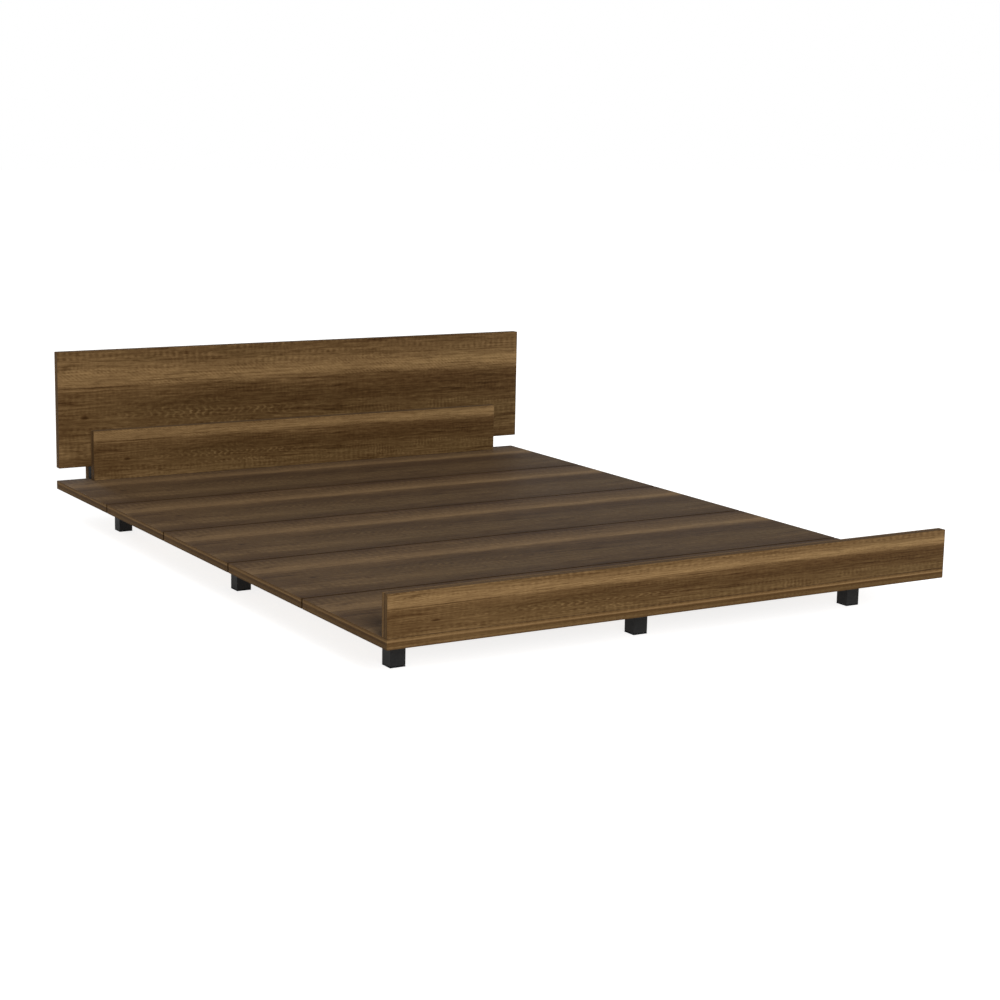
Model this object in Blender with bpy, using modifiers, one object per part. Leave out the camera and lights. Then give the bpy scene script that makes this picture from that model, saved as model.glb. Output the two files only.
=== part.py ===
"""Wooden bed frame.

Five boards lie side by side on three bearers and nine tubular feet. A low footboard stands
on the deck at one end. At the other end the headboard hangs clear of the deck, clamped
between a front rail that stands on the deck and a rear rail fixed to the deck's edge.

Metres, +Z up, +Y toward the head. The origin is on the floor, at the middle of the frame.
"""

import math

import bmesh
import bpy
from mathutils import Euler, Matrix, Vector

# Boards
BED_WIDTH = 1.600
BOARD_THICKNESS = 0.025
EDGE_RADIUS = 0.001
DECK_UNDERSIDE = 0.100
DECK_BOARD_COUNT = 5
DECK_BOARD_DEPTH = 0.420
DECK_GAP = 0.005
FOOTBOARD_HEIGHT = 0.100
HEADBOARD_HEIGHT = 0.350
HEADBOARD_RISE = 0.040
RAIL_LENGTH = 1.400
FRONT_RAIL_HEIGHT = 0.150
SPACER_LENGTH = 0.060
SPACER_EDGE_RADIUS = 0.0008

# Bearers and feet
BEARER_SIZE = 0.040
BEARER_END_INSET = 0.150
BEARER_EDGE_RADIUS = 0.0015
FOOT_SIZE = 0.040
FOOT_SIDE_INSET = 0.110
FOOT_WALL = 0.002
FOOT_EDGE_RADIUS = 0.001
STUD_RADIUS = 0.004
STUD_LENGTH = 0.025
STUD_CHAMFER = 0.001
CAP_FLANGE = 0.003
CAP_EDGE_RADIUS = 0.0006
CAP_PLUG_HEIGHT = 0.012
CAP_WALL = 0.002

# Screws
DECK_SCREW_RADIUS = 0.00225
DECK_SCREW_HEAD_RADIUS = 0.0045
DECK_SCREW_OFFSET = 0.100
CLAMP_SCREW_RADIUS = 0.0025
CLAMP_SCREW_HEAD_RADIUS = 0.0048
CLAMP_SCREW_END_INSET = 0.150
EDGE_SCREW_RADIUS = 0.0035
EDGE_SCREW_HEAD_RADIUS = 0.005
EDGE_SCREW_BITE = 0.030
EDGE_SCREW_END_INSET = 0.200
SCREW_SKIN = 0.006
SCREW_SIDES = 12
POINT_TO_SHANK = 2.0
DRIVE_TO_SHANK = 0.55
DRIVE_DEPTH = 0.0018

# Clearance between pieces that touch, and how far a cutter stands out of the face it cuts
CLEARANCE = 0.0003
CUT_OVERRUN = 0.001
SMOOTH_ANGLE = math.radians(40)

COLUMNS = ("left", "center", "right")

# Heights
DECK_TOP = DECK_UNDERSIDE + BOARD_THICKNESS
BEARER_TOP = DECK_UNDERSIDE - CLEARANCE
BEARER_BOTTOM = BEARER_TOP - BEARER_SIZE
FOOT_TOP = BEARER_BOTTOM - CLEARANCE
FOOT_BOTTOM = CAP_FLANGE + CLEARANCE
RAIL_TOP = DECK_TOP + CLEARANCE + FRONT_RAIL_HEIGHT
HEADBOARD_BOTTOM = DECK_TOP + HEADBOARD_RISE

# Places along the bed
DECK_DEPTH = DECK_BOARD_COUNT * DECK_BOARD_DEPTH + (DECK_BOARD_COUNT - 1) * DECK_GAP
FOOT_END = -(DECK_DEPTH + CLEARANCE + BOARD_THICKNESS) / 2
HEAD_END = FOOT_END + DECK_DEPTH
HEADBOARD_MIDDLE = HEAD_END - BOARD_THICKNESS / 2
FRONT_RAIL_MIDDLE = HEADBOARD_MIDDLE - BOARD_THICKNESS - CLEARANCE
REAR_RAIL_MIDDLE = HEADBOARD_MIDDLE + BOARD_THICKNESS + CLEARANCE
REAR_FACE = REAR_RAIL_MIDDLE + BOARD_THICKNESS / 2

# Lengths of the screws that pass from one board into the next
DECK_SCREW_LENGTH = BEARER_SIZE + CLEARANCE + BOARD_THICKNESS - SCREW_SKIN
CLAMP_SCREW_LENGTH = 3 * BOARD_THICKNESS + 2 * CLEARANCE - SCREW_SKIN
EDGE_SCREW_LENGTH = BOARD_THICKNESS + CLEARANCE + EDGE_SCREW_BITE


def clear_scene():
    for obj in list(bpy.data.objects):
        bpy.data.objects.remove(obj, do_unlink=True)


def new_collection(name, shown):
    collection = bpy.data.collections.new(name)
    bpy.context.scene.collection.children.link(collection)
    collection.hide_render = not shown
    return collection


def make_material(name, color, roughness, metallic=0.0):
    material = bpy.data.materials.new(name)
    material.use_nodes = True
    shader = material.node_tree.nodes["Principled BSDF"]
    shader.inputs["Base Color"].default_value = (*color, 1.0)
    shader.inputs["Roughness"].default_value = roughness
    shader.inputs["Metallic"].default_value = metallic
    material.diffuse_color = (*color, 1.0)
    return material


def box_mesh(name, size, bottom=False):
    """A box about its centre, or standing on the plane z = 0."""
    mesh = bpy.data.meshes.new(name)
    shape = bmesh.new()
    bmesh.ops.create_cube(shape, size=1.0, matrix=Matrix.Diagonal((*size, 1.0)))
    if bottom:
        bmesh.ops.translate(shape, verts=shape.verts, vec=(0.0, 0.0, size[2] / 2))
    shape.to_mesh(mesh)
    shape.free()
    return mesh


def add_object(name, mesh, collection, location=(0.0, 0.0, 0.0), rotation=(0.0, 0.0, 0.0)):
    obj = bpy.data.objects.new(name, mesh)
    obj.location = location
    obj.rotation_euler = rotation
    collection.objects.link(obj)
    if collection is cutters:
        obj.hide_render = True
        obj.display_type = "WIRE"
    return obj


def round_edges(obj, radius):
    bevel = obj.modifiers.new("rounded edges", "BEVEL")
    bevel.width = radius
    bevel.segments = 2
    bevel.limit_method = "ANGLE"


def combine(obj, other, operation):
    boolean = obj.modifiers.new(other.name, "BOOLEAN")
    boolean.operation = operation
    boolean.solver = "EXACT"
    boolean.object = other


def finish_mesh(obj, name):
    """The object's mesh with its modifiers worked out, for copies to share. Removes the object."""
    bpy.context.view_layer.update()
    graph = bpy.context.evaluated_depsgraph_get()
    mesh = bpy.data.meshes.new_from_object(obj.evaluated_get(graph))
    mesh.name = name
    bpy.data.objects.remove(obj, do_unlink=True)
    return mesh


def turned_mesh(name, profile):
    """A closed turned shape about Z. The profile runs from the axis at the top to the axis
    at the bottom, down its outer side, as (radius, height) points."""
    mesh = bpy.data.meshes.new(name)
    points = [(radius, 0.0, height) for radius, height in profile]
    edges = [(i, i + 1) for i in range(len(points) - 1)]
    mesh.from_pydata(points, edges, [])
    obj = add_object(name, mesh, cutters)
    turn = obj.modifiers.new("turned", "SCREW")
    turn.axis = "Z"
    turn.steps = SCREW_SIDES
    turn.render_steps = SCREW_SIDES
    turn.use_merge_vertices = True
    turn.merge_threshold = 0.00001
    return finish_mesh(obj, name)


def hex_mesh(name, radius, depth):
    """A six-sided prism about its centre."""
    mesh = bpy.data.meshes.new(name)
    shape = bmesh.new()
    bmesh.ops.create_cone(shape, cap_ends=True, segments=6, radius1=radius, radius2=radius, depth=depth)
    shape.to_mesh(mesh)
    shape.free()
    return mesh


def screw_mesh(name, length, radius, head_radius):
    """A countersunk screw with its head's face at z = 0 and its point up, with a hex drive."""
    shank_end = length - POINT_TO_SHANK * radius
    head = head_radius - radius
    profile = [(0.0, length), (radius, shank_end), (radius, head), (head_radius, 0.0), (0.0, 0.0)]
    obj = add_object(name, turned_mesh(name, profile), cutters)
    drive = hex_mesh(name + " drive", DRIVE_TO_SHANK * radius, 2 * DRIVE_DEPTH)
    combine(obj, add_object(name + " drive", drive, cutters), "DIFFERENCE")
    mesh = finish_mesh(obj, name)
    mesh.materials.append(zinc)
    return mesh


def pocket_mesh(name, length, radius, head_radius):
    """The hole that such a screw sits in, with clearance all round."""
    wide = radius + CLEARANCE
    wide_head = head_radius + CLEARANCE
    profile = [
        (0.0, length + CLEARANCE),
        (wide, length - POINT_TO_SHANK * radius),
        (wide, head_radius - radius),
        (wide_head, 0.0),
        (wide_head, -CUT_OVERRUN),
        (0.0, -CUT_OVERRUN),
    ]
    return turned_mesh(name, profile)


def add_board(name, size, center):
    obj = add_object(name, box_mesh(name, size), parts, center)
    obj.data.materials.append(walnut)
    round_edges(obj, EDGE_RADIUS)
    return obj


def drive_screw(name, kind, location, rotation, boards):
    """Puts a screw in and cuts its hole in each board that it passes through."""
    add_object(name, kind["screw"], parts, location, rotation)
    hole = add_object(name + " hole", kind["pocket"], cutters, location, rotation)
    for board in boards:
        combine(board, hole, "DIFFERENCE")


def screw_kind(name, length, radius, head_radius):
    return {
        "screw": screw_mesh(name, length, radius, head_radius),
        "pocket": pocket_mesh(name + " pocket", length, radius, head_radius),
    }


def column_x(column):
    return (BED_WIDTH / 2 - FOOT_SIDE_INSET - FOOT_SIZE / 2) * (COLUMNS.index(column) - 1)


def board_y(index):
    return FOOT_END + DECK_BOARD_DEPTH / 2 + index * (DECK_BOARD_DEPTH + DECK_GAP)


def screw_y(index):
    """Off the board's middle, where the feet are, toward the middle of the bed."""
    side = 1 if index <= DECK_BOARD_COUNT // 2 else -1
    return board_y(index) + side * DECK_SCREW_OFFSET


def spread(inset, length):
    """Three places along a board of this length: its middle, and this far in from each end."""
    return [(column, (length / 2 - inset) * side) for side, column in zip((-1, 0, 1), COLUMNS)]


def make_deck():
    size = (BED_WIDTH, DECK_BOARD_DEPTH, BOARD_THICKNESS)
    height = DECK_UNDERSIDE + BOARD_THICKNESS / 2
    return [
        add_board(f"deck_board_{index + 1}", size, (0.0, board_y(index), height))
        for index in range(DECK_BOARD_COUNT)
    ]


def make_footboard():
    size = (BED_WIDTH, BOARD_THICKNESS, FOOTBOARD_HEIGHT)
    height = DECK_TOP + CLEARANCE + FOOTBOARD_HEIGHT / 2
    return add_board("footboard", size, (0.0, FOOT_END + BOARD_THICKNESS / 2, height))


def make_headboard():
    size = (BED_WIDTH, BOARD_THICKNESS, HEADBOARD_HEIGHT)
    height = HEADBOARD_BOTTOM + HEADBOARD_HEIGHT / 2
    return add_board("headboard", size, (0.0, HEADBOARD_MIDDLE, height))


def make_head_rails():
    front_size = (RAIL_LENGTH, BOARD_THICKNESS, FRONT_RAIL_HEIGHT)
    front_height = RAIL_TOP - FRONT_RAIL_HEIGHT / 2
    front = add_board("headboard_front_rail", front_size, (0.0, FRONT_RAIL_MIDDLE, front_height))
    rear_size = (RAIL_LENGTH, BOARD_THICKNESS, RAIL_TOP - DECK_UNDERSIDE)
    rear_height = (RAIL_TOP + DECK_UNDERSIDE) / 2
    rear = add_board("headboard_rear_rail", rear_size, (0.0, REAR_RAIL_MIDDLE, rear_height))
    return front, rear


def make_spacers():
    """Blocks between the rails that hold the headboard's bottom edge up off the deck."""
    size = (SPACER_LENGTH, BOARD_THICKNESS, HEADBOARD_RISE - 2 * CLEARANCE)
    mesh = box_mesh("headboard spacer", size)
    mesh.materials.append(black_plastic)
    for side, column in ((-1, "left"), (1, "right")):
        x = side * (RAIL_LENGTH - SPACER_LENGTH) / 2
        middle = (x, HEADBOARD_MIDDLE, DECK_TOP + HEADBOARD_RISE / 2)
        spacer = add_object(f"headboard_spacer_{column}", mesh, parts, middle)
        round_edges(spacer, SPACER_EDGE_RADIUS)


def make_bearers():
    length = DECK_DEPTH - 2 * BEARER_END_INSET
    bearers = {}
    for column in COLUMNS:
        name = f"bearer_{column}"
        middle = (column_x(column), FOOT_END + DECK_DEPTH / 2, BEARER_TOP - BEARER_SIZE / 2)
        bearer = add_object(name, box_mesh(name, (BEARER_SIZE, length, BEARER_SIZE)), parts, middle)
        bearer.data.materials.append(pine)
        round_edges(bearer, BEARER_EDGE_RADIUS)
        bearers[column] = bearer
    return bearers


def foot_mesh():
    """A square tube with a closed top and a threaded stud, standing on z = 0."""
    height = FOOT_TOP - FOOT_BOTTOM
    inner = FOOT_SIZE - 2 * FOOT_WALL
    foot = add_object("foot", box_mesh("foot", (FOOT_SIZE, FOOT_SIZE, height), bottom=True), cutters)
    round_edges(foot, FOOT_EDGE_RADIUS)
    hollow_size = (inner, inner, height - FOOT_WALL + CUT_OVERRUN)
    hollow = box_mesh("foot hollow", hollow_size, bottom=True)
    combine(foot, add_object("foot hollow", hollow, cutters, (0.0, 0.0, -CUT_OVERRUN)), "DIFFERENCE")
    top = height + STUD_LENGTH
    root = height - FOOT_WALL / 2
    profile = [
        (0.0, top),
        (STUD_RADIUS - STUD_CHAMFER, top),
        (STUD_RADIUS, top - STUD_CHAMFER),
        (STUD_RADIUS, root),
        (0.0, root),
    ]
    combine(foot, add_object("foot stud", turned_mesh("foot stud", profile), cutters), "UNION")
    mesh = finish_mesh(foot, "foot")
    mesh.materials.clear()
    mesh.materials.append(black_steel)
    return mesh


def foot_cap_mesh():
    """A flange that the tube stands on and a hollow plug inside the tube, on z = 0."""
    flange_mesh = box_mesh("cap flange", (FOOT_SIZE, FOOT_SIZE, CAP_FLANGE), bottom=True)
    cap = add_object("foot cap", flange_mesh, cutters)
    round_edges(cap, CAP_EDGE_RADIUS)
    plug = FOOT_SIZE - 2 * FOOT_WALL - 2 * CLEARANCE
    plug_mesh = box_mesh("cap plug", (plug, plug, CAP_FLANGE / 2 + CAP_PLUG_HEIGHT), bottom=True)
    combine(cap, add_object("cap plug", plug_mesh, cutters, (0.0, 0.0, CAP_FLANGE / 2)), "UNION")
    hollow = plug - 2 * CAP_WALL
    hollow_mesh = box_mesh("cap hollow", (hollow, hollow, CAP_PLUG_HEIGHT + CUT_OVERRUN), bottom=True)
    combine(cap, add_object("cap hollow", hollow_mesh, cutters, (0.0, 0.0, CAP_FLANGE)), "DIFFERENCE")
    mesh = finish_mesh(cap, "foot cap")
    mesh.materials.clear()
    mesh.materials.append(black_plastic)
    return mesh


def make_feet(bearers):
    """A foot and its cap under the middle of every second board, on each bearer."""
    foot = foot_mesh()
    cap = foot_cap_mesh()
    top = BEARER_BOTTOM + STUD_LENGTH
    wide = STUD_RADIUS + CLEARANCE
    profile = [(0.0, top), (wide, top), (wide, FOOT_TOP - CUT_OVERRUN), (0.0, FOOT_TOP - CUT_OVERRUN)]
    stud_hole = turned_mesh("stud hole", profile)
    for column in COLUMNS:
        for row, index in enumerate(range(0, DECK_BOARD_COUNT, 2), start=1):
            place = Vector((column_x(column), board_y(index), 0.0))
            add_object(f"foot_{column}_{row}", foot, parts, place + Vector((0.0, 0.0, FOOT_BOTTOM)))
            add_object(f"foot_cap_{column}_{row}", cap, parts, place)
            hole = add_object(f"stud hole {column} {row}", stud_hole, cutters, place)
            combine(bearers[column], hole, "DIFFERENCE")


def drive_deck_screws(deck, bearers):
    kind = screw_kind("deck screw", DECK_SCREW_LENGTH, DECK_SCREW_RADIUS, DECK_SCREW_HEAD_RADIUS)
    for column in COLUMNS:
        for index, board in enumerate(deck):
            place = (column_x(column), screw_y(index), BEARER_BOTTOM)
            drive_screw(f"deck_screw_{column}_{index + 1}", kind, place, UPWARD, (bearers[column], board))


def drive_footboard_screws(kind, deck, footboard):
    for column, x in spread(EDGE_SCREW_END_INSET, BED_WIDTH):
        place = (x, FOOT_END + BOARD_THICKNESS / 2, DECK_UNDERSIDE)
        drive_screw(f"footboard_screw_{column}", kind, place, UPWARD, (deck[0], footboard))


def drive_rear_rail_screws(kind, deck, rear_rail):
    for column, x in spread(EDGE_SCREW_END_INSET, RAIL_LENGTH):
        place = (x, REAR_FACE, DECK_UNDERSIDE + BOARD_THICKNESS / 2)
        drive_screw(f"rear_rail_screw_{column}", kind, place, FOOTWARD, (rear_rail, deck[-1]))


def drive_clamp_screws(front_rail, headboard, rear_rail):
    """Two rows of screws, where the headboard and both rails overlap."""
    kind = screw_kind("clamp screw", CLAMP_SCREW_LENGTH, CLAMP_SCREW_RADIUS, CLAMP_SCREW_HEAD_RADIUS)
    overlap = RAIL_TOP - HEADBOARD_BOTTOM
    rows = (("lower", HEADBOARD_BOTTOM + overlap / 4), ("upper", RAIL_TOP - overlap / 4))
    for column, x in spread(CLAMP_SCREW_END_INSET, RAIL_LENGTH):
        for row, height in rows:
            name = f"clamp_screw_{column}_{row}"
            drive_screw(name, kind, (x, REAR_FACE, height), FOOTWARD, (front_rail, headboard, rear_rail))


def shade(obj):
    obj.data.shade_smooth()
    obj.data.set_sharp_from_angle(angle=SMOOTH_ANGLE)


UPWARD = Euler((0.0, 0.0, 0.0))
FOOTWARD = Euler((math.pi / 2, 0.0, 0.0))

clear_scene()
parts = new_collection("wooden bed frame", shown=True)
cutters = new_collection("cutters", shown=False)

walnut = make_material("walnut print board", (0.110, 0.066, 0.033), 0.42)
pine = make_material("pine", (0.480, 0.310, 0.150), 0.55)
black_steel = make_material("black painted steel", (0.022, 0.021, 0.020), 0.45)
black_plastic = make_material("black plastic", (0.018, 0.018, 0.018), 0.55)
zinc = make_material("zinc plated steel", (0.620, 0.600, 0.560), 0.30, 1.0)

deck_boards = make_deck()
footboard_board = make_footboard()
headboard_board = make_headboard()
front, rear = make_head_rails()
make_spacers()
bearer_set = make_bearers()
make_feet(bearer_set)
drive_deck_screws(deck_boards, bearer_set)
edge_screw = screw_kind("edge screw", EDGE_SCREW_LENGTH, EDGE_SCREW_RADIUS, EDGE_SCREW_HEAD_RADIUS)
drive_footboard_screws(edge_screw, deck_boards, footboard_board)
drive_rear_rail_screws(edge_screw, deck_boards, rear)
drive_clamp_screws(front, headboard_board, rear)
for part in parts.objects:
    shade(part)
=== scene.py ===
"""Looks of the wooden bed frame: materials on the CAD nodes, floor, studio light and camera.

Every length is in metres, in the CAD frame: +Z up, +Y toward the head, -Y the foot end.
"""

import math

import bpy
from mathutils import Euler, Matrix, Vector


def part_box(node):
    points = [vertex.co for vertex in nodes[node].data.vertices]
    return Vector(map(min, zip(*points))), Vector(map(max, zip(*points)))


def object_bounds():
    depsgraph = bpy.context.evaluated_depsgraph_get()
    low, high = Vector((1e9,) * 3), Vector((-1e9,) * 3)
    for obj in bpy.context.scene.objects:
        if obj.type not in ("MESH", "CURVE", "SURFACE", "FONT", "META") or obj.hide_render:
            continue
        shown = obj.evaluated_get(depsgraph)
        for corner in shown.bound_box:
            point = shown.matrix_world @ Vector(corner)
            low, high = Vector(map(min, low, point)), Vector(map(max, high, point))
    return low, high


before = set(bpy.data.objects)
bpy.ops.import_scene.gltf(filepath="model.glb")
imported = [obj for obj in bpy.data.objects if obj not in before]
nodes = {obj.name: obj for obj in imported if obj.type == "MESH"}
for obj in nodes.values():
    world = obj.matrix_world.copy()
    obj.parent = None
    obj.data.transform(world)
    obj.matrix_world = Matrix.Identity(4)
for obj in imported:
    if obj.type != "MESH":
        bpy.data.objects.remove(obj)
cad_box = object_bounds()

# Camera
CAMERA_PLACE = (-2.853, -4.926, 1.263)
CAMERA_YAW = math.radians(31.17)
CAMERA_PITCH = math.radians(10.74)
CAMERA_ROLL = math.radians(1.12)
SENSOR = 36.0
LENS = 75.08

# Light. The floor's glow is what the camera sees, and its bounce is what reaches the bed
KEY_POWER = 3600.0
KEY_PLACE = (-4.5, -17.8, 8.8)
KEY_SIZE = 6.5
FILL_POWER = 1100.0
FILL_PLACE = (0.0, 18.5, 1.6)
FILL_SIZE = 3.0
ROOM_GLOW = 0.42
BACKDROP_GLOW = 1.0
FLOOR_SIZE = 60.0
FLOOR_DROP = 0.0004
FLOOR_TINT = (0.60, 0.60, 0.60)
FLOOR_GLOW = 0.82
FLOOR_BOUNCE = 0.34
# A painted shadow: under the middle of the bed the floor's glow is dim. The glow falls between
# these distances, in from the sides and in from the ends
PAINTED_SHADOW_GLOW = 0.10
PAINTED_SHADOW_SIDES = (0.22, 0.36)
PAINTED_SHADOW_ENDS = (0.36, 0.50)

# The walnut print: one picture of this size, laid over every face of every board. The tone runs
# from dark to pale, and the bands give it for each place across the print, at its left and right
PRINT_LENGTH = 1.600
PRINT_WIDTH = 0.420
PRINT_SHARE = 1 / 1.5
PRINT_VEIL = 0.006
PRINT_TONES = (
    (0.38, "402b18"),
    (0.52, "563d24"),
    (0.67, "6b5133"),
    (0.825, "846744"),
    (1.0, "a08056"),
)
LEFT_BANDS = (
    (0.00, 0.52), (0.06, 0.64), (0.12, 0.69), (0.20, 0.75), (0.26, 0.84), (0.32, 0.86),
    (0.34, 0.80), (0.37, 0.66), (0.45, 0.62), (0.52, 0.62), (0.60, 0.645), (0.66, 0.65),
    (0.76, 0.74), (0.82, 0.73), (0.90, 0.62), (1.00, 0.52),
)
RIGHT_BANDS = (
    (0.00, 0.50), (0.10, 0.64), (0.18, 0.72), (0.235, 0.81), (0.29, 0.90), (0.325, 0.87),
    (0.345, 0.76), (0.37, 0.64), (0.41, 0.58), (0.45, 0.54), (0.52, 0.53), (0.58, 0.60),
    (0.66, 0.655), (0.72, 0.665), (0.80, 0.64), (0.92, 0.57), (1.00, 0.50),
)
# Where the print starts and how much of it shows: across a face of each kind of board, across the
# narrow edge of any board, and along a board
DECK_WINDOW = (0.0, 1.0)
HEADBOARD_WINDOW = (0.101, 0.801)
FOOTBOARD_WINDOW = (0.147, 0.588)
RAIL_WINDOW = (0.234, 0.541)
EDGE_WINDOW = (0.048, 0.932)
WHOLE_LENGTH = (0.0, 1.0)
HEADBOARD_LENGTH = (0.026, 0.960)

# How strongly each kind of grain moves the print's tone. The hairlines gather in one soft oval,
# which is a middle and a size, along and across the print
COARSE_GRAIN = 0.30
FINE_GRAIN = 0.54
FLECKS = 0.30
MOTTLE = 0.22
PATCHES = 0.16
DARK_HAIRLINES = -0.11
PALE_HAIRLINES = 0.07
HAIRLINE_OVAL = ((0.93, 0.27), (0.22, 0.11))
PORES = -0.07
TONE_LIFT = 0.006

# The ripple: bars of each kind along the print, how strongly they move its tone, and where they
# show, in a soft oval or by their share for each place across the print
COMB_BARS = 132
COMB = 0.022
COMB_EXTRA = 0.045
COMB_OVAL = ((0.78, 0.66), (0.30, 0.09))
ROW_BARS = 80
ROWS = 0.092
ROW_ZONE = (
    (0.0, 0.3), (0.08, 1.0), (0.2, 0.8), (0.27, 0.1), (0.36, 0.1), (0.43, 0.32), (0.52, 0.2),
    (0.7, 0.6), (0.9, 0.3),
)
SLANTED_BARS = 120
SLANT = -260.0
SLANTS = 0.045
SLANT_ZONE = ((0.2, 0.0), (0.27, 1.0), (0.34, 1.0), (0.38, 0.0))
CURL_BARS = 66
CURL_ROWS = 17
CURLS = 0.065
CURL_OVAL = ((0.32, 0.58), (0.26, 0.15))

# Marks: soft ovals and cracks, and how strongly each moves the tone
KNOT_OVAL, KNOT = ((0.075, 0.56), (0.009, 0.017)), -0.20
TAIL_OVAL, TAIL = ((0.086, 0.558), (0.035, 0.010)), -0.06
SMUDGE_OVAL, SMUDGE = ((0.73, 0.66), (0.055, 0.026)), -0.08
DIM_END_OVAL, DIM_END = ((0.03, 0.63), (0.11, 0.12)), -0.06
UPPER_CRACK = -0.12
LOWER_CRACK = -0.16
CRACK_RIM = 0.11

# A cast toward olive, over the print's lower half and in patches
OLIVE_TINT = (0.80, 1.0, 0.96, 1.0)
OLIVE_LOWER_HALF = 0.17
OLIVE_PATCHES = 0.08

# The boards' joints with their painted shade, their edges, and their gloss
JOINT_DEPTH = 0.003
JOINT_SHADE_STRENGTH = 0.8
JOINT_SHADE_TONE = "35240f"
# The end faces of every board are tinted warmer, darker in green and blue: painted shade on the
# ends
END_FACE_SHADE = (1.0, 0.95, 0.80, 1.0)
# A pale tone on the rounded edges, broken up by scuffs: partly wear, partly a painted highlight
PALE_EDGE_TONE = "a5845c"
PALE_EDGE_SHARE = 0.22
PALE_EDGE_REACH = (0.0018, 0.0003)
PRINT_SKIN = (0.0022, 0.0030)
FACE_ROUGHNESS = 0.56
EDGE_ROUGHNESS = 0.74
BOARD_SPECULAR = 0.09
SHEEN = 0.018
SHEEN_ROUGHNESS = 0.60
SHEEN_TINT = (0.98, 0.97, 0.99, 1.0)


def linear(code):
    """A colour written as six hex digits, as linear red, green and blue."""
    values = [int(code[i:i + 2], 16) / 255 for i in (0, 2, 4)]
    return tuple(v / 12.92 if v <= 0.04045 else ((v + 0.055) / 1.055) ** 2.4 for v in values)


def printed_color(code):
    """The paper's own colour, from the colour it shows in this light under a veil of gloss."""
    return (*(PRINT_SHARE * (value - PRINT_VEIL) for value in linear(code)), 1.0)


def as_color(value):
    """The colour itself, or the gray of a number."""
    return value if isinstance(value, tuple) else (value, value, value, 1.0)


class Graph:
    """Adds shader nodes to a tree. Each argument is a socket or a plain value."""

    def __init__(self, tree):
        self.tree = tree

    def plug(self, socket, value):
        if isinstance(value, bpy.types.NodeSocket):
            self.tree.links.new(value, socket)
        else:
            socket.default_value = value

    def add(self, kind, **settings):
        node = self.tree.nodes.new("ShaderNode" + kind)
        for name, value in settings.items():
            setattr(node, name, value)
        return node

    def math(self, operation, *values):
        node = self.add("Math", operation=operation)
        for socket, value in zip(node.inputs, values):
            self.plug(socket, value)
        return node.outputs[0]

    def plus(self, *values):
        total = values[0]
        for value in values[1:]:
            total = self.math("ADD", total, value)
        return total

    def times(self, *values):
        total = values[0]
        for value in values[1:]:
            total = self.math("MULTIPLY", total, value)
        return total

    def mix(self, factor, first, second):
        """From the first number to the second."""
        node = self.add("Mix", data_type="FLOAT")
        sockets = (node.inputs[0], node.inputs[2], node.inputs[3])
        for socket, value in zip(sockets, (factor, first, second)):
            self.plug(socket, value)
        return node.outputs[0]

    def blend(self, factor, first, second, kind="MIX"):
        """From the first colour to the second."""
        node = self.add("Mix", data_type="RGBA", blend_type=kind)
        sockets = (node.inputs[0], node.inputs[6], node.inputs[7])
        for socket, value in zip(sockets, (factor, first, second)):
            self.plug(socket, value)
        return node.outputs[2]

    def fade(self, value, start, end, low=0.0, high=1.0):
        """Smoothly from low to high as the value goes from start to end."""
        node = self.add("MapRange", interpolation_type="SMOOTHSTEP")
        for socket, number in zip(node.inputs, (value, start, end, low, high)):
            self.plug(socket, number)
        return node.outputs[0]

    def join(self, x, y):
        node = self.add("CombineXYZ")
        self.plug(node.inputs[0], x)
        self.plug(node.inputs[1], y)
        return node.outputs[0]

    def split(self, vector):
        node = self.add("SeparateXYZ")
        self.plug(node.inputs[0], vector)
        return node.outputs

    def stretch(self, vector, scale, shift=(0.0, 0.0, 0.0)):
        node = self.add("VectorMath", operation="MULTIPLY_ADD")
        for socket, value in zip(node.inputs, (vector, scale, shift)):
            self.plug(socket, value)
        return node.outputs[0]

    def noise(self, vector, scale, shift=(0.0, 0.0, 0.0), detail=2.0, roughness=0.5):
        node = self.add("TexNoise")
        self.plug(node.inputs["Vector"], self.stretch(vector, scale, shift))
        node.inputs["Scale"].default_value = 1.0
        node.inputs["Detail"].default_value = detail
        node.inputs["Roughness"].default_value = roughness
        return node.outputs[0]

    def ramp(self, factor, stops, interpolation="EASE"):
        """A colour for each stop, which is a place from 0 to 1 and a number or a colour."""
        node = self.add("ValToRGB")
        node.color_ramp.interpolation = interpolation
        elements = node.color_ramp.elements
        elements[1].position = stops[-1][0]
        elements[1].color = as_color(stops[-1][1])
        elements[0].position = stops[0][0]
        elements[0].color = as_color(stops[0][1])
        for place, value in stops[1:-1]:
            elements.new(place).color = as_color(value)
        self.plug(node.inputs[0], factor)
        return node.outputs[0]

    def bump(self, height, distance, strength):
        node = self.add("Bump")
        self.plug(node.inputs["Height"], height)
        node.inputs["Distance"].default_value = distance
        node.inputs["Strength"].default_value = strength
        return node.outputs[0]


def new_material(name):
    material = bpy.data.materials.new(name)
    material.use_nodes = True
    return material, Graph(material.node_tree), material.node_tree.nodes["Principled BSDF"]


def place_in_object(graph):
    return graph.add("TexCoord").outputs["Object"]


def waves(graph, place, count):
    """The phase of this many waves over a share that runs from 0 to 1."""
    return graph.times(place, count * 2 * math.pi)


def about_zero(graph, noise, strength):
    """A noise of 0 to 1, moved to both sides of zero."""
    return graph.times(graph.math("SUBTRACT", noise, 0.5), strength)


def thin_line(graph, distance, outer, inner=0.001):
    """1 where the distance is near zero, 0 from the outer distance on."""
    return graph.fade(graph.math("ABSOLUTE", distance), outer, inner)


def blot(graph, along, across, middle, size):
    """1 at the middle of a soft oval, 0 outside it."""
    x = graph.times(graph.math("SUBTRACT", along, middle[0]), 1 / size[0])
    y = graph.times(graph.math("SUBTRACT", across, middle[1]), 1 / size[1])
    distance = graph.plus(graph.times(x, x), graph.times(y, y))
    return graph.fade(distance, 1.0, 0.0)


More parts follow.
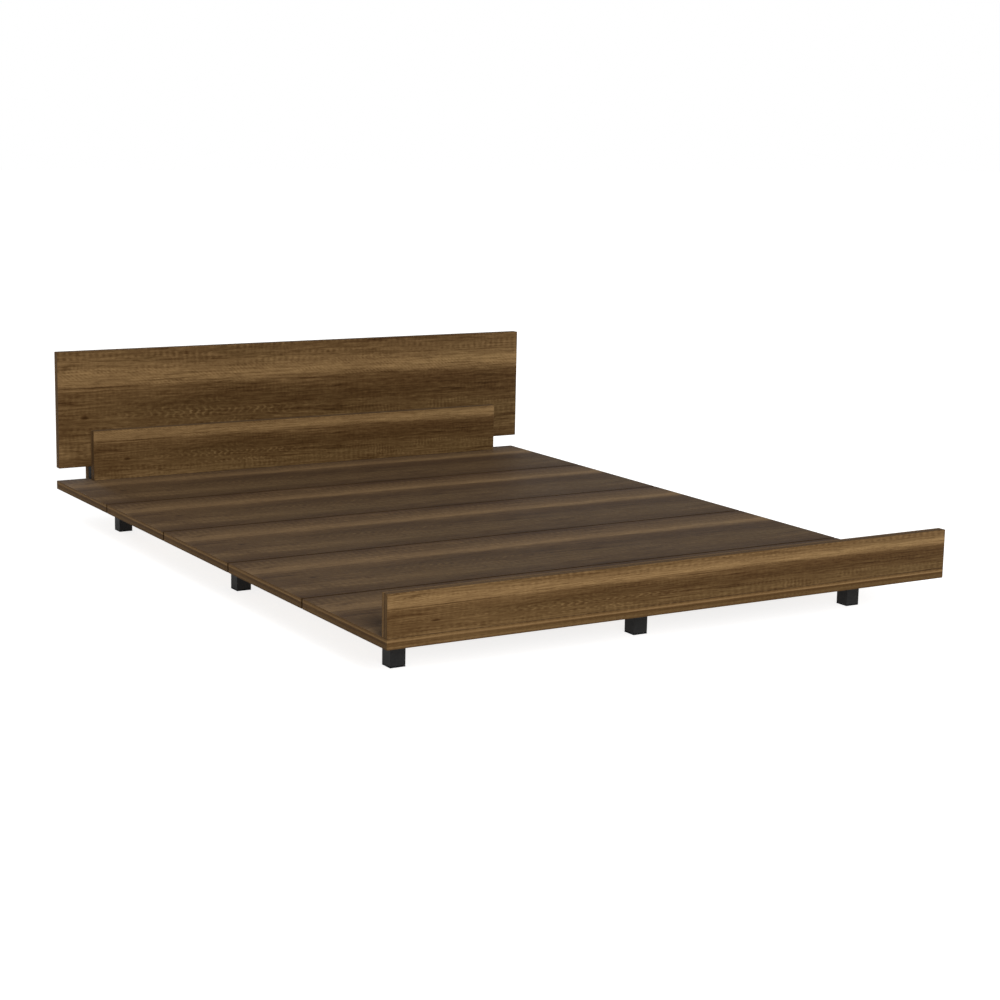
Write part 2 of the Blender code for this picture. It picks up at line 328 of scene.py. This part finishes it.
def print_group():
    """The walnut print. Along and Across run from 0 to 1 over the printed picture."""
    tree = bpy.data.node_groups.new("walnut print", "ShaderNodeTree")
    for name in ("Along", "Across"):
        tree.interface.new_socket(name, in_out="INPUT", socket_type="NodeSocketFloat")
    for name, kind in (("Color", "NodeSocketColor"), ("Grain", "NodeSocketFloat")):
        tree.interface.new_socket(name, in_out="OUTPUT", socket_type=kind)
    source = tree.nodes.new("NodeGroupInput")
    result = tree.nodes.new("NodeGroupOutput")
    graph = Graph(tree)
    along, across = source.outputs[0], source.outputs[1]
    sheet = graph.join(graph.times(along, PRINT_LENGTH), graph.times(across, PRINT_WIDTH))

    # The bands wander a little along the board, and their borders are frayed
    wander = graph.noise(sheet, (2.2, 1.5, 1.0), (3.1, 0.0, 0.0), detail=3.0)
    fray = graph.noise(sheet, (16.0, 60.0, 1.0), (0.0, 7.0, 0.0), detail=4.0, roughness=0.65)
    drift = graph.plus(graph.times(wander, 0.04), graph.times(fray, 0.045), -0.0425)
    band_place = graph.plus(across, drift)
    side = graph.fade(graph.plus(along, graph.times(wander, 0.2)), 0.2, 0.62)
    bands = graph.mix(side, graph.ramp(band_place, LEFT_BANDS), graph.ramp(band_place, RIGHT_BANDS))

    # Long streaks of grain, coarse and fine, and hairlines that follow the contours of a soft noise
    coarse = graph.noise(sheet, (2.6, 75.0, 1.0), (0.0, 2.0, 0.0), detail=4.0, roughness=0.6)
    fine = graph.noise(sheet, (7.0, 190.0, 1.0), (5.0, 0.0, 0.0), detail=4.0, roughness=0.75)
    flecks = graph.noise(sheet, (26.0, 230.0, 1.0), (1.0, 3.0, 0.0), detail=2.0, roughness=0.6)
    mottle = graph.noise(sheet, (42.0, 110.0, 1.0), (2.0, 1.0, 0.0), detail=2.0, roughness=0.6)
    patches = graph.noise(sheet, (3.5, 14.0, 1.0), (9.0, 4.0, 0.0), detail=3.0)
    contour = graph.noise(sheet, (1.6, 24.0, 1.0), (2.0, 6.0, 0.0), detail=2.5, roughness=0.6)
    lines = graph.math("SINE", graph.times(contour, 46.0))
    gather = blot(graph, along, across, *HAIRLINE_OVAL)
    clusters = graph.noise(sheet, (3.0, 17.0, 1.0), (7.0, 1.0, 0.0), detail=2.0)
    where = graph.fade(graph.plus(clusters, graph.times(gather, 0.16)), 0.46, 0.66)
    streaks = graph.plus(
        about_zero(graph, coarse, COARSE_GRAIN),
        about_zero(graph, fine, FINE_GRAIN),
        about_zero(graph, flecks, FLECKS),
        about_zero(graph, mottle, MOTTLE),
        about_zero(graph, patches, PATCHES),
        graph.times(graph.fade(lines, 0.70, 0.97), where, DARK_HAIRLINES),
        graph.times(graph.fade(lines, -0.72, -0.98), where, PALE_HAIRLINES),
    )

    # Fiddleback ripple: a fine comb of bars nearly everywhere, broader bars in short rows, slanted
    # strokes in the pale stripe, and curls under it
    jitter = graph.noise(sheet, (3.0, 9.0, 1.0), (1.0, 1.0, 0.0), detail=2.0)
    shake = graph.noise(sheet, (14.0, 42.0, 1.0), (6.0, 2.0, 0.0), detail=3.0, roughness=0.6)
    bend = graph.plus(graph.times(jitter, 10.0), graph.times(shake, 9.0))
    comb = graph.math("SINE", graph.plus(waves(graph, along, COMB_BARS), bend))
    comb_noise = graph.noise(sheet, (6.0, 26.0, 1.0), (3.0, 5.0, 0.0), detail=3.0)
    comb_patch = graph.fade(comb_noise, 0.42, 0.66)
    bars = graph.math("SINE", graph.plus(waves(graph, along, ROW_BARS), graph.times(bend, 0.5)))
    row_noise = graph.noise(sheet, (3.5, 44.0, 1.0), (4.0, 8.0, 0.0), detail=3.0)
    rows = graph.fade(row_noise, 0.45, 0.62)
    row_zone = graph.ramp(across, ROW_ZONE)
    lean = graph.plus(
        waves(graph, along, SLANTED_BARS), graph.times(across, SLANT), graph.times(bend, 0.8),
    )
    slants = graph.math("SINE", lean)
    slant_zone = graph.ramp(across, SLANT_ZONE)
    curl_sway = graph.math("COSINE", waves(graph, band_place, CURL_ROWS))
    curl_phase = graph.plus(
        waves(graph, along, CURL_BARS), graph.times(curl_sway, 1.7), graph.times(bend, 0.7),
    )
    curls = graph.fade(graph.math("SINE", curl_phase), -0.2, 1.0, -0.35, 1.0)
    curl_spread = graph.plus(rows, comb_patch, 0.15)
    curl_zone = graph.times(blot(graph, along, across, *CURL_OVAL), curl_spread)
    comb_zone = graph.times(blot(graph, along, across, *COMB_OVAL), COMB_EXTRA)
    ripple = graph.plus(
        graph.times(comb, comb_patch, graph.plus(comb_zone, COMB)),
        graph.times(bars, rows, row_zone, graph.fade(along, 0.9, 0.1, 0.7, 1.0), ROWS),
        graph.times(slants, slant_zone, graph.plus(comb_patch, 0.2), SLANTS),
        graph.times(curls, curl_zone, CURLS),
    )

    # Cracks over the pale stripe and under its left end, a knot with a tail, a smudge, and the dim
    # left end
    crack_noise = graph.noise(sheet, (14.0, 0.0, 0.0), (6.0, 0.0, 0.0), detail=3.0)
    slow_noise = graph.noise(sheet, (3.0, 0.0, 0.0))
    upper_line = graph.plus(0.158, graph.times(along, 0.05), graph.times(slow_noise, 0.03))
    above = graph.math("SUBTRACT", across, upper_line)
    upper = graph.times(thin_line(graph, above, 0.0055), graph.fade(crack_noise, 0.36, 0.60))
    lower_line = graph.plus(0.350, graph.times(fray, 0.014))
    lower_end = graph.fade(graph.plus(along, graph.times(crack_noise, 0.1)), 0.26, 0.18)
    below = graph.math("SUBTRACT", across, lower_line)
    lower = graph.times(thin_line(graph, below, 0.006), lower_end)
    rim = graph.times(thin_line(graph, graph.plus(below, -0.017), 0.008), lower_end)
    ragged = graph.plus(across, about_zero(graph, fine, 0.03))
    marks = graph.plus(
        graph.times(blot(graph, along, across, *DIM_END_OVAL), DIM_END),
        graph.times(upper, UPPER_CRACK),
        graph.times(lower, LOWER_CRACK),
        graph.times(rim, CRACK_RIM),
        graph.times(blot(graph, along, ragged, *KNOT_OVAL), KNOT),
        graph.times(blot(graph, along, ragged, *TAIL_OVAL), TAIL),
        graph.times(blot(graph, along, ragged, *SMUDGE_OVAL), SMUDGE),
    )

    pore_noise = graph.noise(sheet, (110.0, 640.0, 1.0), (0.5, 0.5, 0.0), detail=1.0)
    pores = graph.fade(pore_noise, 0.54, 0.72)
    tone = graph.plus(bands, streaks, ripple, marks, graph.times(pores, PORES), TONE_LIFT)
    stops = [(level, printed_color(code)) for level, code in PRINT_TONES]
    color = graph.ramp(tone, stops, "LINEAR")
    olive = graph.noise(sheet, (2.5, 12.0, 1.0), (8.0, 3.0, 0.0), detail=2.0)
    lower_half = graph.times(
        graph.fade(across, 0.36, 0.52), graph.fade(along, 0.0, 0.35, 0.35, 1.0),
    )
    olive_share = graph.plus(
        graph.times(lower_half, OLIVE_LOWER_HALF), graph.fade(olive, 0.5, 0.7, 0.0, OLIVE_PATCHES),
    )
    color = graph.blend(olive_share, color, OLIVE_TINT, "MULTIPLY")
    grain = graph.plus(graph.times(fine, 0.6), graph.times(coarse, 0.4), graph.times(pores, -0.5))
    graph.plug(result.inputs[0], color)
    graph.plug(result.inputs[1], grain)
    return tree


def edge_distances(graph, place, low, high):
    """How far a point on a board is from the nearest face, and from the nearest edge."""
    middle, half = (low + high) / 2, (high - low) / 2
    offset = graph.stretch(place, (1.0, 1.0, 1.0), tuple(-middle))
    gaps = [
        graph.math("SUBTRACT", half[axis], graph.math("ABSOLUTE", value))
        for axis, value in enumerate(graph.split(offset))
    ]
    nearest = graph.math("MINIMUM", graph.math("MINIMUM", gaps[0], gaps[1]), gaps[2])
    lower = graph.math("MINIMUM", gaps[0], gaps[1])
    upper = graph.math("MAXIMUM", gaps[0], gaps[1])
    second = graph.math("MAXIMUM", lower, graph.math("MINIMUM", upper, gaps[2]))
    return nearest, second


def share_along(graph, value, start, end):
    """0 at the start, 1 at the end."""
    return graph.times(graph.math("SUBTRACT", value, start), 1 / (end - start))


def window(graph, value, part):
    return graph.plus(graph.times(value, part[1]), part[0])


def joint_shade(graph, y, low, high):
    """Painted shade in the joints between the deck boards, on their walls and rounded edges."""
    deck = [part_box(name) for name in nodes if name.startswith("deck_board")]
    walls = []
    if low.y > min(box[0].y for box in deck) + JOINT_DEPTH:
        walls.append(graph.math("SUBTRACT", y, low.y))
    if high.y < max(box[1].y for box in deck) - JOINT_DEPTH:
        walls.append(graph.math("SUBTRACT", high.y, y))
    nearest = walls[0] if len(walls) == 1 else graph.math("MINIMUM", *walls)
    return graph.fade(nearest, JOINT_DEPTH, JOINT_DEPTH / 3, 0.0, JOINT_SHADE_STRENGTH)


def board_material(name, lies_flat, face_window, printed, length=WHOLE_LENGTH):
    """The print on one board, with pale edges, partly wear and partly painted highlight, and bare
    chipboard where a screw hole cuts it.
    """
    material, graph, shader = new_material("walnut print " + name)
    low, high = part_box(name)
    place = place_in_object(graph)
    x, y, z = graph.split(place)
    normal = graph.split(graph.add("NewGeometry").outputs["True Normal"])
    facing = [graph.math("GREATER_THAN", graph.math("ABSOLUTE", part), 0.7) for part in normal]
    across_x = window(graph, share_along(graph, x, low.x, high.x), length)
    across_y = share_along(graph, y, high.y, low.y)
    across_z = share_along(graph, z, high.z, low.z)
    if lies_flat:
        wide, narrow, facing_wide = across_y, across_z, facing[2]
    else:
        wide, narrow, facing_wide = across_z, across_y, facing[1]
    along = graph.mix(facing[0], across_x, wide)
    on_face = graph.times(facing_wide, graph.math("SUBTRACT", 1.0, facing[0]))
    across_edge = window(graph, narrow, EDGE_WINDOW)
    across = graph.mix(on_face, across_edge, window(graph, wide, face_window))

    print_node = graph.add("Group", node_tree=printed)
    for socket, value in zip(print_node.inputs, (along, across)):
        graph.plug(socket, value)
    color, grain = print_node.outputs[0], print_node.outputs[1]

    depth, edge = edge_distances(graph, place, low, high)
    # Pale edges: partly wear, partly a painted highlight on the rounded edges
    scuffs = graph.noise(place, (70.0, 70.0, 70.0), detail=5.0, roughness=0.75)
    edge_wear_and_highlight = graph.times(graph.fade(edge, *PALE_EDGE_REACH), graph.fade(scuffs, 0.42, 0.68))
    color = graph.blend(graph.times(edge_wear_and_highlight, PALE_EDGE_SHARE), color, printed_color(PALE_EDGE_TONE))
    if lies_flat:
        # Painted shade in the joints between the deck boards
        color = graph.blend(joint_shade(graph, y, low, high), color, printed_color(JOINT_SHADE_TONE))

    # Painted shade: the end faces of every board are tinted warmer
    color = graph.blend(facing[0], color, END_FACE_SHADE, "MULTIPLY")

    # Bare chipboard inside the screw holes
    chips = graph.noise(place, (700.0, 700.0, 250.0), detail=3.0, roughness=0.7)
    core = graph.ramp(chips, ((0.3, (0.19, 0.11, 0.055, 1.0)), (0.7, (0.46, 0.32, 0.19, 1.0))))
    color = graph.blend(graph.fade(depth, *PRINT_SKIN), color, core)

    smears = graph.noise(place, (6.0, 6.0, 6.0), detail=4.0, roughness=0.6)
    smooth = graph.mix(facing_wide, EDGE_ROUGHNESS, FACE_ROUGHNESS)
    roughness = graph.plus(
        smooth, graph.times(smears, 0.14), graph.times(grain, -0.10), graph.times(edge_wear_and_highlight, 0.10),
    )
    graph.plug(shader.inputs["Base Color"], color)
    graph.plug(shader.inputs["Roughness"], roughness)
    graph.plug(shader.inputs["Normal"], graph.bump(grain, 0.0003, 0.5))
    shader.inputs["Specular IOR Level"].default_value = BOARD_SPECULAR
    shader.inputs["Specular Tint"].default_value = (0.5, 0.5, 0.5, 1.0)
    shader.inputs["Sheen Weight"].default_value = SHEEN
    shader.inputs["Sheen Roughness"].default_value = SHEEN_ROUGHNESS
    shader.inputs["Sheen Tint"].default_value = SHEEN_TINT
    return material


def pine_material():
    """Planed pine, with its rings along the bearer and a knot here and there."""
    material, graph, shader = new_material("pine")
    place = place_in_object(graph)
    rings = graph.noise(place, (55.0, 1.4, 55.0), detail=3.0, roughness=0.55)
    lines = graph.math("SINE", graph.times(rings, 60.0))
    fibres = graph.noise(place, (900.0, 18.0, 900.0), detail=2.0)
    knot_noise = graph.noise(place, (9.0, 3.0, 9.0), (2.0, 5.0, 1.0), detail=1.0)
    knots = graph.fade(knot_noise, 0.72, 0.80)
    tone = graph.plus(graph.times(lines, 0.18), graph.times(fibres, 0.5), 0.25)
    wood = graph.ramp(tone, (
        (0.1, (0.33, 0.19, 0.075, 1.0)),
        (0.5, (0.52, 0.34, 0.16, 1.0)),
        (0.9, (0.62, 0.44, 0.24, 1.0)),
    ))
    relief = graph.plus(fibres, graph.times(lines, 0.2))
    graph.plug(shader.inputs["Base Color"], graph.blend(knots, wood, (0.12, 0.055, 0.02, 1.0)))
    graph.plug(shader.inputs["Roughness"], graph.plus(0.55, graph.times(fibres, 0.25)))
    graph.plug(shader.inputs["Normal"], graph.bump(relief, 0.0004, 0.6))
    return material


def steel_material():
    """Black powder coat: a fine orange peel, scuffed paler in places."""
    material, graph, shader = new_material("black painted steel")
    place = place_in_object(graph)
    peel = graph.noise(place, (480.0, 480.0, 480.0), detail=3.0, roughness=0.6)
    dust = graph.noise(place, (30.0, 30.0, 60.0), detail=5.0, roughness=0.7)
    base = graph.ramp(dust, (
        (0.35, (0.0120, 0.0118, 0.0117, 1.0)),
        (0.75, (0.021, 0.0205, 0.020, 1.0)),
    ))
    specks = graph.fade(peel, 0.50, 0.66, 0.0, 0.6)
    graph.plug(shader.inputs["Base Color"], graph.blend(specks, base, (0.034, 0.033, 0.032, 1.0)))
    graph.plug(shader.inputs["Roughness"], graph.plus(0.42, graph.times(dust, 0.22)))
    graph.plug(shader.inputs["Normal"], graph.bump(peel, 0.0005, 0.5))
    shader.inputs["Specular IOR Level"].default_value = 0.25
    return material


def plastic_material():
    """Moulded black plastic with a fine spark-eroded grain."""
    material, graph, shader = new_material("black plastic")
    place = place_in_object(graph)
    pits = graph.noise(place, (1600.0, 1600.0, 1600.0), detail=3.0, roughness=0.7)
    haze = graph.noise(place, (40.0, 40.0, 40.0), detail=3.0)
    base = graph.ramp(haze, (
        (0.3, (0.007, 0.0072, 0.008, 1.0)),
        (0.7, (0.012, 0.0122, 0.013, 1.0)),
    ))
    graph.plug(shader.inputs["Base Color"], base)
    graph.plug(shader.inputs["Roughness"], graph.plus(0.60, graph.times(haze, 0.15)))
    graph.plug(shader.inputs["Normal"], graph.bump(pits, 0.0003, 0.5))
    shader.inputs["Specular IOR Level"].default_value = 0.12
    return material


def zinc_material():
    """Yellowish zinc plating with dull blotches."""
    material, graph, shader = new_material("zinc plated steel")
    place = place_in_object(graph)
    blotches = graph.noise(place, (350.0, 350.0, 350.0), detail=4.0, roughness=0.6)
    base = graph.ramp(blotches, (
        (0.3, (0.52, 0.50, 0.45, 1.0)),
        (0.7, (0.70, 0.69, 0.64, 1.0)),
    ))
    graph.plug(shader.inputs["Base Color"], base)
    graph.plug(shader.inputs["Roughness"], graph.plus(0.22, graph.times(blotches, 0.25)))
    graph.plug(shader.inputs["Normal"], graph.bump(blotches, 0.0002, 0.3))
    shader.inputs["Metallic"].default_value = 1.0
    return material


def paint(name, material):
    slots = nodes[name].data.materials
    slots.clear()
    slots.append(material)


def paint_boards():
    printed = print_group()
    for name in sorted(nodes):
        if name.startswith("deck_board"):
            paint(name, board_material(name, True, DECK_WINDOW, printed))
    headboard = board_material("headboard", False, HEADBOARD_WINDOW, printed, HEADBOARD_LENGTH)
    paint("headboard", headboard)
    paint("footboard", board_material("footboard", False, FOOTBOARD_WINDOW, printed))
    for name in ("headboard_front_rail", "headboard_rear_rail"):
        paint(name, board_material(name, False, RAIL_WINDOW, printed))


def paint_rest():
    """Bearers, spacers, feet, caps and screws, by the first word that their names start with."""
    plastic = plastic_material()
    kinds = (
        ("bearer", pine_material()),
        ("foot_cap", plastic),
        ("headboard_spacer", plastic),
        ("foot_", steel_material()),
    )
    zinc = zinc_material()
    for name in nodes:
        if "_screw_" in name:
            paint(name, zinc)
            continue
        for start, material in kinds:
            if name.startswith(start):
                paint(name, material)
                break


def make_floor():
    height = cad_box[0].z - FLOOR_DROP
    bpy.ops.mesh.primitive_plane_add(size=FLOOR_SIZE, location=(0.0, 0.0, height))
    floor = bpy.context.object
    floor.name = "floor"
    material, graph, shader = new_material("pale floor")
    shader.inputs["Base Color"].default_value = (*FLOOR_TINT, 1.0)
    shader.inputs["Roughness"].default_value = 0.9
    shader.inputs["Specular IOR Level"].default_value = 0.0
    shader.inputs["Emission Color"].default_value = (1.0, 1.0, 1.0, 1.0)
    x, y, _ = graph.split(place_in_object(graph))
    from_side = graph.math("SUBTRACT", cad_box[1].x, graph.math("ABSOLUTE", x))
    from_end = graph.math("SUBTRACT", cad_box[1].y, graph.math("ABSOLUTE", y))
    # The painted shadow under the middle of the bed: there the glow that the camera sees is dim
    under = graph.times(graph.fade(from_side, *PAINTED_SHADOW_SIDES), graph.fade(from_end, *PAINTED_SHADOW_ENDS))
    glow = graph.mix(under, FLOOR_GLOW, PAINTED_SHADOW_GLOW)
    seen = graph.add("LightPath").outputs["Is Camera Ray"]
    graph.plug(shader.inputs["Emission Strength"], graph.mix(seen, FLOOR_BOUNCE, glow))
    floor.data.materials.append(material)


def make_room():
    """A white backdrop for the camera, and a softer glow on the bed."""
    world = bpy.data.worlds.new("studio")
    bpy.context.scene.world = world
    world.use_nodes = True
    graph = Graph(world.node_tree)
    glow = world.node_tree.nodes["Background"]
    glow.inputs["Strength"].default_value = ROOM_GLOW
    glow.inputs["Color"].default_value = (1.0, 1.0, 1.0, 1.0)
    backdrop = graph.add("Background")
    backdrop.inputs["Color"].default_value = (1.0, 1.0, 1.0, 1.0)
    backdrop.inputs["Strength"].default_value = BACKDROP_GLOW
    seen = graph.add("LightPath").outputs["Is Camera Ray"]
    mixed = graph.add("MixShader")
    for socket, value in zip(mixed.inputs, (seen, glow.outputs[0], backdrop.outputs[0])):
        graph.plug(socket, value)
    graph.plug(world.node_tree.nodes["World Output"].inputs["Surface"], mixed.outputs[0])


def make_light(name, place, size, power):
    """A soft square lamp that points at the bed."""
    lamp = bpy.data.lights.new(name, "AREA")
    lamp.size = size
    lamp.energy = power
    light = bpy.data.objects.new(name, lamp)
    light.location = place
    aim = (cad_box[0] + cad_box[1]) / 2 - Vector(place)
    light.rotation_euler = aim.to_track_quat("-Z", "Y").to_euler()
    bpy.context.scene.collection.objects.link(light)


def make_camera():
    data = bpy.data.cameras.new("camera")
    data.sensor_width = SENSOR
    data.lens = LENS
    data.clip_end = 200.0
    camera = bpy.data.objects.new("camera", data)
    aim = Euler((math.pi / 2 - CAMERA_PITCH, 0.0, -CAMERA_YAW)).to_matrix()
    turn = aim @ Matrix.Rotation(CAMERA_ROLL, 3, "Z")
    camera.matrix_world = Matrix.Translation(CAMERA_PLACE) @ turn.to_4x4()
    bpy.context.scene.collection.objects.link(camera)
    bpy.context.scene.camera = camera


make_camera()
paint_boards()
paint_rest()
make_floor()
make_room()
make_light("key", KEY_PLACE, KEY_SIZE, KEY_POWER)
make_light("fill", FILL_PLACE, FILL_SIZE, FILL_POWER)
bpy.context.scene.view_settings.view_transform = "Standard"
